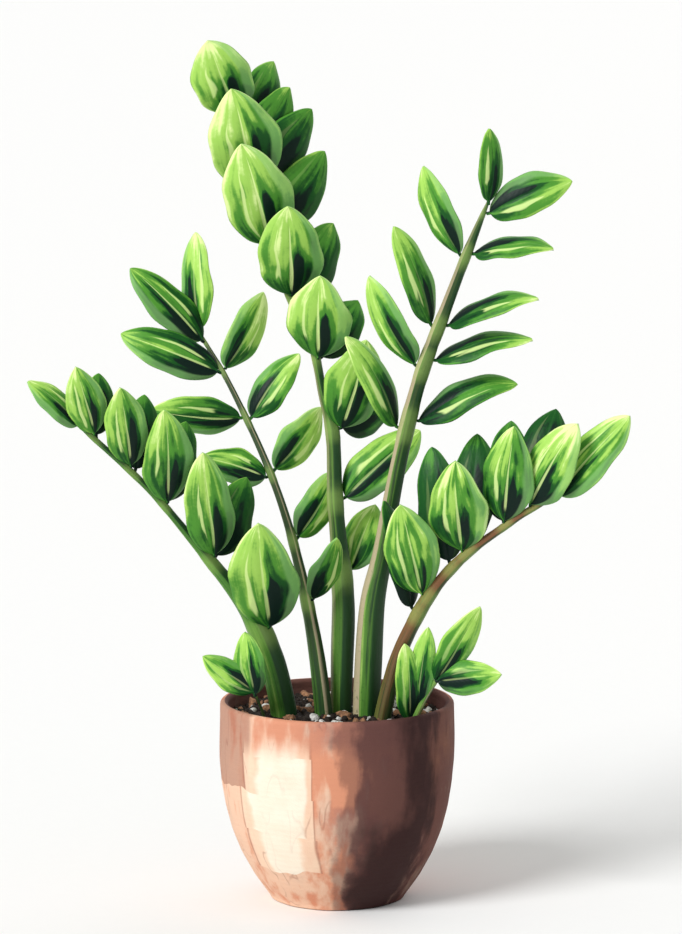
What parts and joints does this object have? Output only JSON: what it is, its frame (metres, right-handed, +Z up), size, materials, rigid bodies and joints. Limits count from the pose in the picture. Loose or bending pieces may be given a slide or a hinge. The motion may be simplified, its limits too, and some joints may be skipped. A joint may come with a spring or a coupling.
{
  "type": "potted zz plant",
  "caption": "Potted ZZ plant: a rounded terracotta planter filled with soil, thick arching stems with paired rows of oval leaflets, and young shoots at the rim.",
  "frame": {"origin": "centre of the planter's flat foot, on the surface it stands on", "axes": "+Z up, -Y towards the front of the plant, +X to its right as seen from the front"},
  "size_m": [0.443, 0.1948, 0.6536],
  "materials": {
    "terracotta": "matte",
    "potting_soil": "matte",
    "stem": "satin",
    "leaflet_light": "satin",
    "leaflet_dark": "satin",
    "young_shoot": "satin"
  },
  "bodies": {
    "root": {"pot": "terracotta", "soil": "potting_soil", "low_left_stem": "stem", "low_left_leaflet_front_1": "leaflet_light", "low_left_leaflet_front_2": "leaflet_light", "low_left_leaflet_front_3": "leaflet_light", "low_left_leaflet_front_4": "leaflet_light", "low_left_leaflet_front_5": "leaflet_light", "low_left_leaflet_back_1": "leaflet_dark", "low_left_leaflet_back_2": "leaflet_dark", "low_left_leaflet_back_3": "leaflet_dark", "low_left_leaflet_back_4": "leaflet_dark", "tall_left_stem": "stem", "tall_left_leaflet_left_1": "leaflet_dark", "tall_left_leaflet_left_2": "leaflet_dark", "tall_left_leaflet_left_3": "leaflet_dark", "tall_left_leaflet_left_4": "leaflet_dark", "tall_left_leaflet_right_1": "leaflet_light", "tall_left_leaflet_right_2": "leaflet_light", "tall_left_leaflet_right_3": "leaflet_light", "tall_left_leaflet_right_4": "leaflet_light", "tall_left_leaflet_right_5": "leaflet_light", "tall_left_leaflet_right_6": "leaflet_light", "centre_stem": "stem", "centre_leaflet_front_1": "leaflet_light", "centre_leaflet_front_2": "leaflet_light", "centre_leaflet_front_3": "leaflet_light", "centre_leaflet_front_4": "leaflet_light", "centre_leaflet_front_5": "leaflet_light", "centre_leaflet_back_1": "leaflet_dark", "centre_leaflet_back_2": "leaflet_dark", "centre_leaflet_back_3": "leaflet_dark", "centre_leaflet_back_4": "leaflet_dark", "centre_leaflet_back_5": "leaflet_dark", "centre_leaflet_back_6": "leaflet_dark", "centre_leaflet_back_7": "leaflet_dark", "centre_leaflet_back_8": "leaflet_dark", "centre_leaflet_back_9": "leaflet_dark", "tall_right_stem": "stem", "tall_right_leaflet_left_1": "leaflet_dark", "tall_right_leaflet_left_2": "leaflet_dark", "tall_right_leaflet_left_3": "leaflet_dark", "tall_right_leaflet_left_4": "leaflet_dark", "tall_right_leaflet_right_1": "leaflet_light", "tall_right_leaflet_right_2": "leaflet_light", "tall_right_leaflet_right_3": "leaflet_light", "tall_right_leaflet_right_4": "leaflet_light", "tall_right_leaflet_right_5": "leaflet_light", "low_right_stem": "stem", "low_right_leaflet_front_1": "leaflet_light", "low_right_leaflet_front_2": "leaflet_light", "low_right_leaflet_front_3": "leaflet_light", "low_right_leaflet_front_4": "leaflet_light", "low_right_leaflet_back_1": "leaflet_dark", "low_right_leaflet_back_2": "leaflet_dark", "low_right_leaflet_back_3": "leaflet_dark", "low_right_leaflet_back_4": "leaflet_dark", "low_right_leaflet_back_5": "leaflet_dark", "left_shoot": "young_shoot", "right_shoot": "young_shoot"}
  },
  "joints": []
}
